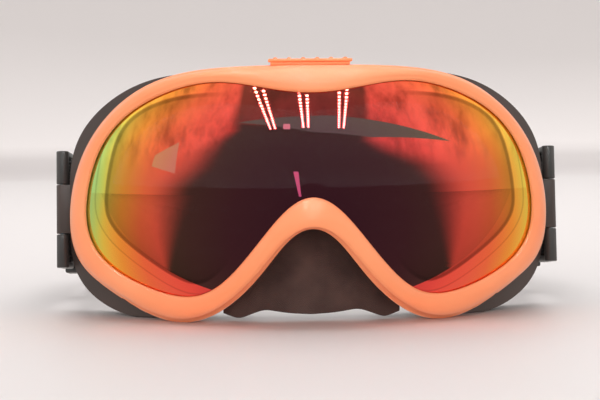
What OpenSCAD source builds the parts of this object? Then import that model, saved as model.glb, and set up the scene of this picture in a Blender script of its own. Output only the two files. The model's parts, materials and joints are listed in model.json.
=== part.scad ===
// Ski goggles: a moulded rim over a soft inner frame, with a double spherical lens,
// layered face foam and an elastic strap on two hinged anchors.
// Millimetres. +Z up, the lens faces -Y. The goggles stand on z = 0 and the origin is
// the middle of the bounding box at its base.

/* [Rim] */
// Width across the rim
rim_w = 173.4; // [162:0.2:186]
// Height of the rim, without the brow badge
rim_h = 89.8; // [84:0.2:96]
// Wall of the rim behind its face
rim_wall = 1.2; // [1:0.1:1.4]
// How far the rim's face stands proud of the lens
rim_proud = 1.6; // [1.2:0.1:2.4]
// Depth of the rim at the middle, from the lens apex
rim_depth = 24; // [22:0.5:28]
// Flare from the rim's face to its rear edge at the top
flare_top = 0.8; // [0.4:0.1:1.1]
// Flare from the rim's face to its rear edge at the bottom
flare_bottom = 2.4; // [1.4:0.1:2.8]

/* [Lens] */
// Outer radius of the spherical outer lens
lens_r = 110; // [104:1:125]
// Thickness of the outer lens
outer_lens_t = 1.4; // [1:0.1:2]
// Thickness of the foam gasket between the lenses
gasket_t = 3.4; // [2.4:0.1:4]
// Thickness of the inner lens
inner_lens_t = 0.8; // [0.5:0.1:1.2]
// How far the lens reaches under the rim's lip
lens_lap = 1.8; // [1.4:0.1:2]
// How far the gasket shows inside the lens opening
gasket_show = 4; // [2:0.5:6]

/* [Inner frame] */
// Radius of the face side, seen from above
face_r = 135; // [120:1:160]
// Gap between the rim's rear edge and the flange
flange_gap = 3; // [2.4:0.1:5]
// Thickness of the flange that carries the foam
flange_t = 2.5; // [1.8:0.1:3.5]
// Thickness of the ledge behind the inner lens
ledge_t = 2; // [1.5:0.1:2.6]
// Length of each vent slot
vent_l = 8; // [5:0.5:9]
// Width of each vent slot
vent_w = 3; // [2:0.1:3.2]

/* [Face foam] */
// Thickness of the firm foam on the flange
foam_base_t = 4.5; // [3:0.5:7]
// Thickness of the soft middle foam
foam_mid_t = 7.5; // [5:0.5:12]
// Thickness of the fleece against the skin
fleece_t = 1.5; // [1:0.1:2.5]
// How far the foam is set in from the flange's edge
foam_inset = 2.5; // [2:0.1:4]
// Thickness of the nose flap
flap_t = 2.4; // [1.5:0.1:2.4]

/* [Strap] */
// Width of the elastic strap
strap_w = 38; // [32:0.5:40]
// Thickness of the strap's webbing
strap_t = 1.5; // [1.2:0.1:1.8]
// Height of the strap's middle at the anchors
strap_z = 37; // [34:0.5:42]
// Straight run of the strap behind each anchor
strap_run = 75; // [66:1:95]
// Bend radius at the strap's rear corners
corner_r = 55; // [40:1:60]
// Bend radius across the back of the head
back_r = 120; // [110:1:160]
// Where each adjuster sits, behind the strap bar
adjuster_at = 45; // [35:1:50]

/* [Anchors] */
// Radius of the bar that the strap folds round
bar_r = 1.4; // [1.1:0.1:1.8]
// Radius of the hinge pin
pin_r = 1.2; // [1:0.05:1.5]
// Radius of the hinge knuckles
knuckle_r = 2.3; // [2.2:0.1:2.6]
// Distance from the hinge pin to the strap bar
pin_to_bar = 9; // [8.5:0.1:11]

/* [Brow badge] */
// Width of the badge on top of the rim
badge_w = 29; // [20:0.5:34]
// Height of the badge above the rim
badge_h = 2.2; // [1.6:0.1:3]

/* [Hidden] */
$fn = 96;

// Outlines seen from the front at the nominal size, from the top centre to the nose.
rim_nominal = [173.4, 89.8];
foot_cut = 0.3;          // the curves dip this far under z = 0, where they are cut flat
rim_points = [
    [0, 89.5], [13, 89.5], [26, 89.2], [38, 88.3], [49, 86.2], [59, 82.2], [67.5, 76.4], [74.5, 69.2],
    [80, 61], [84, 51.5], [86.2, 41.5], [86.7, 31], [84.6, 21.5], [79, 14.8], [70.5, 9.2], [62, 4.2],
    [53.5, 0.8], [45, -0.3], [36.5, 1.8], [29, 6.6], [22, 12.8], [16, 20.1], [11, 26.4], [6, 31.4],
    [0, 33.8]
];
opening_points = [
    [0, 80], [11, 80.8], [22, 82.9], [32.5, 83.9], [43, 82.6], [53, 79], [61.3, 74.6], [67.7, 69],
    [72.7, 62.5], [76.3, 54.5], [78.6, 45], [79.2, 36], [77.3, 28], [72.7, 21.6], [65.5, 16.6],
    [57.5, 13], [50, 10.8], [43, 10.1], [36.5, 11.6], [30.8, 15.6], [25.6, 20.8], [20.5, 27],
    [15.3, 33.4], [8.5, 40.7], [0, 45.4]
];
flange_points = [
    [0, 87], [14, 87.3], [28, 87.6], [41, 87.4], [52.5, 86], [63, 82.7], [72, 77.2], [79, 70.8],
    [84.2, 63], [86.8, 54], [87.4, 44], [87.4, 33.5], [87.2, 23], [84.8, 14], [78.8, 7], [71, 2.4],
    [62, -0.1], [53, 0], [44.5, 2.6], [37, 6.8], [29.5, 11.5], [22, 16.8], [14.5, 21.9],
    [7.2, 26.2], [0, 28]
];
eye_points = [
    [0, 74], [10, 74.8], [20, 76.2], [30, 77], [40, 76], [49.5, 73], [57.5, 68.8], [63.5, 63.5],
    [68, 57.5], [71.3, 50.5], [73.2, 42.5], [73.3, 35], [70.8, 28.5], [66, 23.5], [60, 19.8],
    [53.5, 17.2], [47.5, 16], [42, 16.2], [37, 18.4], [32.5, 22], [28, 26.5], [23, 31.5],
    [17.5, 36.5], [10, 41], [0, 43.2]
];
// Lower edge of the nose flap, from its right corner to the middle.
hem_points = [[31, 2.6], [25.5, 0.6], [21, 2.4], [16.5, 4], [8, 2.7], [0, 2.2]];

spline_steps = 2;        // points on each outline for each one of its own
air = 0.05;              // gap between bonded layers
snap = 0.1;              // gap between clipped mouldings
eye_z = 45 * rim_h / rim_nominal.y;
front_y = -20;           // in front of everything
rear_y = 110;            // behind the face foam
ground_block = [300, 400, 20];
flare_step = 6;          // depth of the rim's face before it flares
face_front_r = lens_r + rim_proud;
gasket_front_r = lens_r - outer_lens_t;
inner_front_r = gasket_front_r - gasket_t;
ledge_front_r = inner_front_r - inner_lens_t;
flange_front = rim_depth + flange_gap;
flange_back = flange_front + flange_t;
foam_mid_front = flange_back + foam_base_t;
fleece_front = foam_mid_front + foam_mid_t;
face_back = fleece_front + fleece_t;

// Vents: where the slots lie to each side of the middle.
top_vents = [17, 30, 43];
bottom_vents = [55, 64];
vent_rear_wall = 1.2;    // rim left behind each slot
vent_reach = 16;         // how far the slots' cutters reach into the frames
vent_foam_t = 2;
top_foam_x = 50;         // half the width of the top vent foam
bottom_foam_x = [48, 72];

// Strap and anchors, in a frame that tilts back so that the strap's rear edge rests on z = 0.
fold_gap = 0.1;          // between the strap's fold and its bar, and between its two layers
fold_r = bar_r + fold_gap + strap_t / 2;
flange_x = 87.4 * rim_w / rim_nominal.x;
anchor_air = 0.5;        // between the flange's edge and the anchor's knuckles
pin_x = flange_x + anchor_air + knuckle_r;
bar_inset = 0.8;         // the strap bar lies this much closer in than the pin
bar_x = pin_x - bar_inset;
main_x = bar_x + fold_r;                       // middle of the strap's outer layer
tail_x = main_x - strap_t - fold_gap;          // middle of its inner layer
tail_in = 10;            // the inner layer meets the outer one here
tail_end = strap_run;
corner_x = main_x - corner_r;
back_v = strap_run - sqrt(pow(back_r - corner_r, 2) - pow(corner_x, 2));
corner_turn = 90 - asin(corner_x / (back_r - corner_r));
strap_back = back_v + back_r + strap_t / 2;    // rear of the loop behind the bar
tilt = asin(strap_z / norm([strap_back, strap_w / 2])) - atan2(strap_w / 2, strap_back);
flange_side_y = flange_front + face_r - sqrt(pow(face_r, 2) - pow(flange_x, 2));
bar_y = flange_side_y + flange_t / 2 + pin_to_bar * cos(tilt);
arm_t = 2.2;             // thickness of the anchor's arms
arm_w = 4.4;             // width of the arms, and diameter of their round ends
bar_recess = 0.5;        // the bar's ends stop this far inside the arms
pin_recess = 0.2;        // the pin's ends stop this far inside the knuckles
arm_gap = 0.3;           // between the strap's edge and an arm
arm_z = strap_w / 2 + arm_gap;
anchor_h = 2 * (arm_z + arm_t);
ear_h = 18;              // height of the inner frame's knuckle
ear_air = 0.3;
ear_root = 1.4;          // the knuckle's web reaches this far into the flange
ear_web = 2 * knuckle_r - 0.6;
bore_air = 0.05;

// Adjuster
adjuster_l = 14;
adjuster_bar_t = 1.7;
adjuster_air = 0.15;
adjuster_rail = 2.4;
adjuster_bar_l = 3.2;
adjuster_out = main_x + strap_t / 2 + adjuster_air;
adjuster_in = tail_x - strap_t / 2 - adjuster_air;

// Grip beads on the inside of the strap's back
grip_t = 0.4;
grip_w = 3;
grip_pitch = 10;

badge_l = 8;             // front to back
badge_setback = 1;       // from the rim's rear edge
badge_step = 0.8;        // the badge's foot is smaller by this much all round
badge_ribs = 6;
badge_rib_r = 0.5;

flap_air = 0.3;          // between the nose flap and what lies before and behind it
flap_x = hem_points[0].x * rim_w / rim_nominal.x;
ledge_grip = 0.8;        // the ledge's outer edge is buried this deep in the frame's wall
flange_lip = 1;          // the flange reaches this close to the eye outline
wall_into_flange = 1;

front_most = -rim_proud;
rear_most = bar_y + strap_back * cos(tilt) + strap_w / 2 * sin(tilt);
middle_y = (front_most + rear_most) / 2;

// ---- Outlines ----

function to_size(points) =
    [for (p = points) [p.x * rim_w / rim_nominal.x, (p.y + foot_cut) * rim_h / rim_nominal.y - foot_cut]];

function both_sides(half) = concat(half, [for (i = [len(half) - 2:-1:1]) [-half[i].x, half[i].y]]);

function at(points, i) = points[(i + len(points)) % len(points)];

// Catmull-Rom curve from point i to the next one.
function curve_point(points, i, t) =
    let (a = at(points, i - 1), b = at(points, i), c = at(points, i + 1), d = at(points, i + 2))
    0.5 * (2 * b + (c - a) * t + (2 * a - 5 * b + 4 * c - d) * t * t + (3 * b - a - 3 * c + d) * t * t * t);

function closed_curve(points) =
    [for (i = [0:len(points) - 1], k = [0:spline_steps - 1]) curve_point(points, i, k / spline_steps)];

function outline(half) = closed_curve(both_sides(to_size(half)));

function outward(points, i) =
    let (d = at(points, i + 1) - at(points, i - 1))
    [-d.y, d.x] / norm(d);

// The outline grown by distance, or shrunk by a negative one.
function grown(points, distance) =
    [for (i = [0:len(points) - 1]) points[i] + distance * outward(points, i)];

function flare(z) = flare_top + (flare_bottom - flare_top) * pow(1 - z / rim_h, 2);

function unflared(points) =
    [for (i = [0:len(points) - 1]) points[i] - flare(points[i].y) * outward(points, i)];

rim_outline = outline(rim_points);
face_outline = unflared(rim_outline);
opening = outline(opening_points);
flange_outline = outline(flange_points);
eye_outline = outline(eye_points);

function face_y(depth, x) = depth + face_r - sqrt(pow(face_r, 2) - x * x);

// ---- Building blocks ----

// A front-view outline drawn out along Y, with an optional hole.
module drawn(outside, hole = []) {
    translate([0, rear_y, 0])
        rotate([90, 0, 0])
            linear_extrude(rear_y - front_y)
                difference() {
                    polygon(outside);
                    if (len(hole) > 0) polygon(hole);
                }
}

// Everything inside the sphere of that radius about the lens's centre.
module ball(r) {
    translate([0, lens_r, eye_z]) sphere(r, $fn = 128);
}

module between_balls(r_out, r_in) {
    difference() {
        ball(r_out);
        ball(r_in);
    }
}

// Everything behind the face-side curve that crosses the middle at that depth.
module behind(depth) {
    translate([0, depth + face_r, -20]) cylinder(r = face_r, h = rim_h + 60, $fn = 128);
}

module layer(front, back) {
    difference() {
        behind(front);
        behind(back);
    }
}

module below_ground() {
    translate([-ground_block.x / 2, front_y - 1, -ground_block.z]) cube(ground_block);
}

// Stadium-shaped cutters through the top or the bottom wall, along Z.
module vent_cutters(places, z_from, z_to) {
    for (side = [-1, 1], x = places) {
        y = face_y(rim_depth, x) - vent_rear_wall - vent_w / 2;
        translate([side * x, y, z_from])
            rotate([0, 0, side * asin(x / face_r)]) {
                translate([-(vent_l - vent_w) / 2, -vent_w / 2, 0])
                    cube([vent_l - vent_w, vent_w, z_to - z_from]);
                for (end = [-1, 1])
                    translate([end * (vent_l - vent_w) / 2, 0, 0])
                        cylinder(d = vent_w, h = z_to - z_from, $fn = 32);
            }
    }
}

module vents() {
    vent_cutters(top_vents, rim_h - vent_reach, rim_h + 1);
    vent_cutters(bottom_vents, -1, vent_reach);
}

// Places its children in the strap's tilted frame: X across, Y along the strap, Z over its width.
module strap_frame() {
    translate([0, bar_y, strap_z]) rotate([-tilt, 0, 0]) children();
}

module on_side(side) {
    if (side > 0) children();
    else mirror([1, 0, 0]) children();
}

// ---- Lens and frames ----

module outer_frame() {
    color("coral")
        difference() {
            union() {
                intersection() {
                    drawn(face_outline, opening);
                    between_balls(face_front_r, lens_r + air);
                }
                intersection() {
                    drawn(face_outline, grown(face_outline, -rim_wall));
                    ball(face_front_r);
                }
                intersection() {
                    drawn(rim_outline, grown(face_outline, -rim_wall));
                    ball(face_front_r - flare_step);
                }
            }
            behind(rim_depth);
            vents();
            below_ground();
        }
}

module brow_badge() {
    half_h = badge_h / 2;
    front = rim_depth - badge_setback - badge_l;
    color("coral")
        translate([0, front, rim_h - foot_cut + air]) {
            translate([badge_step - badge_w / 2, badge_step, 0])
                cube([badge_w - 2 * badge_step, badge_l - 2 * badge_step, half_h]);
            translate([-badge_w / 2, 0, half_h]) cube([badge_w, badge_l, half_h]);
            for (i = [0:badge_ribs - 1])
                translate([badge_w * ((i + 0.5) / badge_ribs - 0.5), badge_step, badge_h])
                    rotate([-90, 0, 0])
                        cylinder(r = badge_rib_r, h = badge_l - 2 * badge_step, $fn = 32);
        }
}

module outer_lens() {
    color("orangered")
        intersection() {
            drawn(grown(opening, lens_lap));
            between_balls(lens_r, gasket_front_r);
        }
}

module lens_gasket() {
    color("dimgray")
        intersection() {
            drawn(grown(opening, lens_lap - 0.2), grown(opening, -gasket_show));
            between_balls(gasket_front_r - air, inner_front_r + air);
        }
}

module inner_lens() {
    color("silver", 0.4)
        intersection() {
            drawn(grown(opening, lens_lap - 0.2));
            between_balls(inner_front_r, ledge_front_r);
        }
}

// The knuckle on the inner frame's side that takes the hinge pin.
module ear() {
    difference() {
        union() {
            translate([pin_x, -pin_to_bar, 0]) cylinder(r = knuckle_r, h = ear_h, center = true, $fn = 48);
            translate([flange_x - ear_root, -pin_to_bar - ear_web / 2, -ear_h / 2])
                cube([pin_x - flange_x + ear_root, ear_web, ear_h]);
        }
        translate([pin_x, -pin_to_bar, 0]) cylinder(r = pin_r + bore_air, h = ear_h + 2, center = true, $fn = 48);
    }
}

module rear_frame() {
    color("dimgray") {
        difference() {
            union() {
                difference() {
                    intersection() {
                        drawn(grown(face_outline, -rim_wall - snap), grown(opening, lens_lap + snap));
                        ball(lens_r - air);
                    }
                    behind(flange_front + wall_into_flange);
                }
                intersection() {
                    drawn(grown(opening, lens_lap + ledge_grip), grown(opening, -gasket_show));
                    between_balls(ledge_front_r - air, ledge_front_r - ledge_t);
                }
                intersection() {
                    drawn(flange_outline, grown(eye_outline, flange_lip));
                    layer(flange_front, flange_back);
                }
            }
            vents();
            below_ground();
        }
        for (side = [-1, 1])
            on_side(side) strap_frame() ear();
    }
}

module vent_foam(low, high) {
    difference() {
        intersection() {
            drawn(grown(opening, lens_lap - air), grown(opening, lens_lap - vent_foam_t));
            ball(ledge_front_r - ledge_t - air);
            translate(low) cube(high - low);
        }
        behind(flange_front - air);
    }
}

module vent_foam_top() {
    color("darkslategray")
        vent_foam([-top_foam_x, 0, eye_z + 20], [top_foam_x, rear_y, rim_h]);
}

module vent_foam_bottom() {
    color("darkslategray")
        for (side = [-1, 1])
            on_side(side)
                vent_foam([bottom_foam_x[0], 0, 0], [bottom_foam_x[1], rear_y, eye_z - 20]);
}

// A soft flap that hangs in the nose arch between the rim and the flange.
module nose_flap() {
    arch = [for (p = grown(face_outline, -rim_wall + air)) if (abs(p.x) < flap_x && p.y < eye_z) p];
    hem = to_size(hem_points);
    color("black")
        intersection() {
            drawn(concat(arch, [for (p = hem) [-p.x, p.y]], [for (i = [len(hem) - 2:-1:0]) hem[i]]));
            layer(rim_depth + flap_air, rim_depth + flap_air + flap_t);
        }
}

// ---- Face foam ----

module foam_ring(front, back) {
    difference() {
        intersection() {
            drawn(grown(flange_outline, -foam_inset), eye_outline);
            layer(front + air, back);
        }
        below_ground();
    }
}

module face_foam_base() {
    color("dimgray") foam_ring(flange_back, foam_mid_front);
}

module face_foam_mid() {
    color("gray") foam_ring(foam_mid_front, fleece_front);
}

module face_fleece() {
    color("black") foam_ring(fleece_front, face_back);
}

// ---- Strap and its hardware ----

// A ribbon of even thickness along a path, shifted sideways by aside.
function ribbon(path, thickness, aside = 0) =
    let (
        last = len(path) - 1,
        side = [for (i = [0:last])
            let (d = path[min(i + 1, last)] - path[max(i - 1, 0)])
            [-d.y, d.x] / norm(d)],
        left = [for (i = [0:last]) path[i] + (aside + thickness / 2) * side[i]],
        right = [for (i = [last:-1:0]) path[i] + (aside - thickness / 2) * side[i]]
    )
    concat(left, right);

function arc(centre, r, from, to, steps) =
    [for (i = [0:steps]) centre + r * [cos(from + (to - from) * i / steps), sin(from + (to - from) * i / steps)]];

// The right half of the strap, from its loose end round the bar to the middle of the back.
tail_path = [for (i = [0:8])
    [tail_x + (bar_x - fold_r - tail_x) * (1 - cos(180 * i / 8)) / 2, tail_in * (1 - i / 8)]];
fold_path = arc([bar_x, 0], fold_r, 180, 360, 12);
back_path = concat(
    arc([corner_x, strap_run], corner_r, 0, corner_turn, 14),
    [for (p = arc([0, back_v], back_r, corner_turn, 90, 12)) if (p.x < main_x - 1) p]
);
right_half = concat(
    [[tail_x, tail_end]],
    [for (i = [0:7]) tail_path[i]],
    fold_path,
    [for (i = [0:14]) back_path[i]],
    [for (i = [16:26]) back_path[i]]
);
function mirrored_path(path) = [for (i = [len(path) - 1:-1:0]) [-path[i].x, path[i].y]];
strap_path = concat(right_half, mirrored_path(right_half));

module strap() {
    color("black")
        strap_frame()
            linear_extrude(strap_w, center = true) polygon(ribbon(strap_path, strap_t));
}

module strap_grip() {
    half = [for (p = arc([0, back_v], back_r, corner_turn, 90, 12)) if (abs(p.x) > 0.01) p];
    path = concat(half, mirrored_path(half));
    color("gray")
        strap_frame()
            for (row = [-1:1])
                translate([0, 0, row * grip_pitch])
                    linear_extrude(grip_w, center = true)
                        polygon(ribbon(path, grip_t, (strap_t + grip_t) / 2 + 0.02));
}

module anchor(side) {
    color("dimgray")
        on_side(side)
            strap_frame() {
                difference() {
                    union() {
                        for (end = [-1, 1])
                            translate([0, 0, end * (anchor_h / 2 + ear_h / 2 + ear_air) / 2]) {
                                translate([pin_x, -pin_to_bar, 0])
                                    cylinder(
                                        r = knuckle_r, h = anchor_h / 2 - ear_h / 2 - ear_air,
                                        center = true, $fn = 48
                                    );
                            }
                        for (end = [-1, 1])
                            translate([bar_x - arm_w / 2, -pin_to_bar, end * (arm_z + arm_t / 2) - arm_t / 2])
                                cube([arm_w, pin_to_bar, arm_t]);
                        for (end = [-1, 1])
                            translate([bar_x, 0, end * (arm_z + arm_t / 2)])
                                cylinder(d = arm_w, h = arm_t, center = true, $fn = 48);
                    }
                    translate([pin_x, -pin_to_bar, 0])
                        cylinder(r = pin_r + bore_air, h = anchor_h + 2, center = true, $fn = 48);
                }
                translate([bar_x, 0, 0])
                    cylinder(r = bar_r, h = anchor_h - 2 * bar_recess, center = true, $fn = 48);
            }
}

module anchor_pin(side) {
    color("silver")
        on_side(side)
            strap_frame()
                translate([pin_x, -pin_to_bar, 0])
                    cylinder(r = pin_r, h = anchor_h - 2 * pin_recess, center = true, $fn = 48);
}

// A ladder buckle: one outer bar, two inner bars, and rails past the strap's edges.
module adjuster(side) {
    depth = adjuster_out + adjuster_bar_t - (adjuster_in - adjuster_bar_t);
    height = strap_w + 2 * arm_gap + 2 * adjuster_rail;
    color("dimgray")
        on_side(side)
            strap_frame()
                translate([adjuster_in - adjuster_bar_t, adjuster_at, 0]) {
                    for (end = [-1, 1])
                        translate([0, -adjuster_l / 2, end * (height - adjuster_rail) / 2 - adjuster_rail / 2])
                            cube([depth, adjuster_l, adjuster_rail]);
                    translate([depth - adjuster_bar_t, -adjuster_bar_l / 2, -height / 2])
                        cube([adjuster_bar_t, adjuster_bar_l, height]);
                    for (end = [-1, 1])
                        translate([0, end * (adjuster_l - adjuster_bar_l) / 2 - adjuster_bar_l / 2, -height / 2])
                            cube([adjuster_bar_t, adjuster_bar_l, height]);
                }
}

translate([0, -middle_y, 0]) {
    outer_frame();
    brow_badge();
    outer_lens();
    lens_gasket();
    inner_lens();
    rear_frame();
    vent_foam_top();
    vent_foam_bottom();
    nose_flap();
    face_foam_base();
    face_foam_mid();
    face_fleece();
    anchor(-1);  // anchor_left
    anchor(1);  // anchor_right
    anchor_pin(-1);  // anchor_pin_left
    anchor_pin(1);  // anchor_pin_right
    strap();
    strap_grip();
    adjuster(-1);  // adjuster_left
    adjuster(1);  // adjuster_right
}
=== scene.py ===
"""Looks for the ski goggles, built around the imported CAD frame.

Shapes are drawn in millimetres with the lens apex at y = 0 and are placed in metres by `piece`.
The moulded and foam rings are lofted along smooth outlines seen from the front; the strap and its
hardware are drawn in the strap's own tilted frame, which the hinge joints give.
"""
import json
import math

import bmesh
import bpy
import numpy as np
from mathutils import Matrix, Vector


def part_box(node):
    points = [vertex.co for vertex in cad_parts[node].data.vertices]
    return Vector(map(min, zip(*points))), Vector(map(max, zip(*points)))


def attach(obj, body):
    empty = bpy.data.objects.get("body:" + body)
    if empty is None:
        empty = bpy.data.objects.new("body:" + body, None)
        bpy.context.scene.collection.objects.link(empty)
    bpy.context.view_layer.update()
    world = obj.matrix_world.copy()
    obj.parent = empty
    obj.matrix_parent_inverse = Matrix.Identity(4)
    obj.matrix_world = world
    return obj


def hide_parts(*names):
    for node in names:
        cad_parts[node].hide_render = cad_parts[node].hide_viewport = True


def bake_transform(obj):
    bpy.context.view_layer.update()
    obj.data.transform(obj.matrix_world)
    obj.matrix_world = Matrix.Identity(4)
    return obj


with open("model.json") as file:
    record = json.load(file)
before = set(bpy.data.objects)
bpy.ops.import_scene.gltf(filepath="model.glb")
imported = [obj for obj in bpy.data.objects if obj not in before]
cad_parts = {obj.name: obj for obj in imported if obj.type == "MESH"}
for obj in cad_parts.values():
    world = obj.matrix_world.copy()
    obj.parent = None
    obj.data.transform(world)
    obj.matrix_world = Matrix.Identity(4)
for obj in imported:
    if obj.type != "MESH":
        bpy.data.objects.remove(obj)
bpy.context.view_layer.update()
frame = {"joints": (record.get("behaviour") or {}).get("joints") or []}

# ---- Sizes in millimetres, the same as in the CAD source ----

MM = 0.001
BODY = "goggles"
SIDES = {"left": -1, "right": 1}

rim_low, rim_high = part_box("outer_frame")
FOOT_CUT = 0.3
DRAWN_W, DRAWN_H = 173.4, 89.8  # the size that the outlines below are drawn at
RIM_W = (rim_high.x - rim_low.x) / MM
RIM_H = rim_high.z / MM + FOOT_CUT
APEX_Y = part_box("outer_lens")[0].y / MM
EYE_Z = 45 * RIM_H / DRAWN_H

LENS_R, OUTER_T, GASKET_T, INNER_T = 110, 1.4, 3.4, 0.8
GASKET_FRONT_R = LENS_R - OUTER_T
INNER_FRONT_R = GASKET_FRONT_R - GASKET_T
LEDGE_FRONT_R = INNER_FRONT_R - INNER_T
LENS_LAP, GASKET_SHOW, LEDGE_T = 1.8, 4, 2
RIM_PROUD, RIM_WALL, RIM_DEPTH, FACE_STEP = 1.6, 1.2, 24, 6
FLARE_TOP, FLARE_BOTTOM = 0.8, 2.4
FACE_R = 135
FLANGE_FRONT, FLANGE_BACK = 27, 29.5
FOAM_MID_FRONT, FLEECE_FRONT, FACE_BACK = 34, 41.5, 43
FOAM_INSET = 2.5
TOP_VENTS, BOTTOM_VENTS = (17, 30, 43), (55, 64)
VENT_L, VENT_W, VENT_REAR_WALL = 8, 3, 1.2
STRAP_W, STRAP_T, STRAP_RUN, CORNER_R, BACK_R = 38, 1.5, 75, 55, 120
BAR_R, PIN_R, KNUCKLE_R, PIN_TO_BAR, BAR_INSET = 1.4, 1.2, 2.3, 9, 0.8
FOLD_R = BAR_R + 0.1 + STRAP_T / 2
ARM_T, ARM_W, EAR_H = 2.2, 4.4, 18
ADJUSTER_AT, ADJUSTER_L = 45, 14

# Outlines from the top centre down one side to the nose, the same as in the CAD source.
RIM = [
    (0, 89.5), (13, 89.5), (26, 89.2), (38, 88.3), (49, 86.2), (59, 82.2), (67.5, 76.4), (74.5, 69.2),
    (80, 61), (84, 51.5), (86.2, 41.5), (86.7, 31), (84.6, 21.5), (79, 14.8), (70.5, 9.2), (62, 4.2),
    (53.5, 0.8), (45, -0.3), (36.5, 1.8), (29, 6.6), (22, 12.8), (16, 20.1), (11, 26.4), (6, 31.4),
    (0, 33.8),
]
OPENING = [
    (0, 80), (11, 80.8), (22, 82.9), (32.5, 83.9), (43, 82.6), (53, 79), (61.3, 74.6), (67.7, 69),
    (72.7, 62.5), (76.3, 54.5), (78.6, 45), (79.2, 36), (77.3, 28), (72.7, 21.6), (65.5, 16.6),
    (57.5, 13), (50, 10.8), (43, 10.1), (36.5, 11.6), (30.8, 15.6), (25.6, 20.8), (20.5, 27),
    (15.3, 33.4), (8.5, 40.7), (0, 45.4),
]
FLANGE = [
    (0, 87), (14, 87.3), (28, 87.6), (41, 87.4), (52.5, 86), (63, 82.7), (72, 77.2), (79, 70.8),
    (84.2, 63), (86.8, 54), (87.4, 44), (87.4, 33.5), (87.2, 23), (84.8, 14), (78.8, 7), (71, 2.4),
    (62, -0.1), (53, 0), (44.5, 2.6), (37, 6.8), (29.5, 11.5), (22, 16.8), (14.5, 21.9),
    (7.2, 26.2), (0, 28),
]
EYE = [
    (0, 74), (10, 74.8), (20, 76.2), (30, 77), (40, 76), (49.5, 73), (57.5, 68.8), (63.5, 63.5),
    (68, 57.5), (71.3, 50.5), (73.2, 42.5), (73.3, 35), (70.8, 28.5), (66, 23.5), (60, 19.8),
    (53.5, 17.2), (47.5, 16), (42, 16.2), (37, 18.4), (32.5, 22), (28, 26.5), (23, 31.5),
    (17.5, 36.5), (10, 41), (0, 43.2),
]
# Inner edge of the gasket as it shows through the lens, wide over the cheeks.
BOND = [
    (0, 77.5), (22, 79.5), (43, 79), (56, 75), (64, 69.4), (68.4, 60.6), (70.7, 50), (71.5, 42.5),
    (70.6, 37), (66.6, 31.2), (59, 25), (49, 18.4), (41, 15.3), (35.5, 17), (30, 22), (24, 29),
    (16, 38), (8.5, 45), (0, 50),
]
# The free hem of the nose flap.
HEM = [(31, 2.6), (25.5, 0.6), (21, 2.4), (16.5, 4), (8, 2.7), (0, 2.2)]


# ---- Outlines ----

CURVE_STEPS = 10  # points on an outline for each one listed
FINEST_WAVE = 18  # waves round an outline above which its wobble is smoothed away


def closed_half(half):
    points = np.array(half, float)
    x = points[:, 0] * RIM_W / DRAWN_W
    z = (points[:, 1] + FOOT_CUT) * RIM_H / DRAWN_H - FOOT_CUT
    return np.vstack([np.column_stack([x, z]), np.column_stack([-x, z])[-2:0:-1]])


def outline(half):
    """A dense closed curve through the points and their mirror images, without its smallest wobbles."""
    before, a, b, after = (np.roll(closed_half(half), turn, axis=0)[:, None] for turn in (1, 0, -1, -2))
    t = (np.arange(CURVE_STEPS) / CURVE_STEPS)[None, :, None]
    squared = (2 * before - 5 * a + 4 * b - after) * t**2
    cubed = (3 * a - before - 3 * b + after) * t**3
    curve = (0.5 * (2 * a + (b - before) * t + squared + cubed)).reshape(-1, 2)
    waves = np.fft.fft(curve[:, 0] + 1j * curve[:, 1])
    count = np.abs(np.fft.fftfreq(len(curve)) * len(curve))
    smooth = np.fft.ifft(waves * np.exp(-((count / FINEST_WAVE) ** 4)))
    return np.column_stack([smooth.real, smooth.imag])


def outward(curve):
    """Unit vectors square to the outline, pointing out of it."""
    along = np.roll(curve, -1, axis=0) - np.roll(curve, 1, axis=0)
    return np.column_stack([-along[:, 1], along[:, 0]]) / np.linalg.norm(along, axis=1)[:, None]


def grown(curve, distance):
    """The outline moved outwards by a distance in millimetres, the same all round or one for each point."""
    return curve + np.reshape(distance, (-1, 1)) * outward(curve)


def between(a, b, share):
    return a + (b - a) * share


def on_ball(curve, radius):
    """The outline laid on a sphere about the lens's centre."""
    y = LENS_R - np.sqrt(radius**2 - curve[:, 0] ** 2 - (curve[:, 1] - EYE_Z) ** 2)
    return np.column_stack([curve[:, 0], y, curve[:, 1]])


def face_y(depth, x):
    return depth + FACE_R - np.sqrt(FACE_R**2 - x**2)


def on_face(curve, depth):
    """The outline laid on the curve of the face side."""
    return np.column_stack([curve[:, 0], face_y(depth, curve[:, 0]), curve[:, 1]])


rim_outline = outline(RIM)
flare = FLARE_TOP + (FLARE_BOTTOM - FLARE_TOP) * (1 - rim_outline[:, 1] / RIM_H) ** 2
face_outline = grown(rim_outline, -flare)
opening = outline(OPENING)
flange_outline = outline(FLANGE)
eye_outline = outline(EYE)
bond_line = outline(BOND)


# ---- Meshes ----

SHARP = 35  # degrees between faces that keep a sharp edge


def placed(points, matrix=None):
    """Millimetre points as metres in the row frame, from the lens's frame or through a matrix."""
    if matrix is None:
        return [(x * MM, (y + APEX_Y) * MM, z * MM) for x, y, z in points]
    return [matrix @ (Vector(p) * MM) for p in points]


def linked(name, data):
    """An object that holds the data, in the scene."""
    made = bpy.data.objects.new(name, data)
    bpy.context.scene.collection.objects.link(made)
    return made


def shade(mesh):
    """Smooth, apart from its sharp edges."""
    mesh.polygons.foreach_set("use_smooth", [True] * len(mesh.polygons))
    mesh.set_sharp_from_angle(angle=math.radians(SHARP))


def piece(name, points, faces, materials, matrix=None):
    """A mesh object in the row frame, from points in millimetres."""
    mesh = bpy.data.meshes.new(name)
    mesh.from_pydata(placed(points, matrix), [], faces)
    for m in materials if isinstance(materials, list) else [materials]:
        mesh.materials.append(m)
    mesh.validate()
    shade(mesh)
    return linked(name, mesh)


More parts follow.
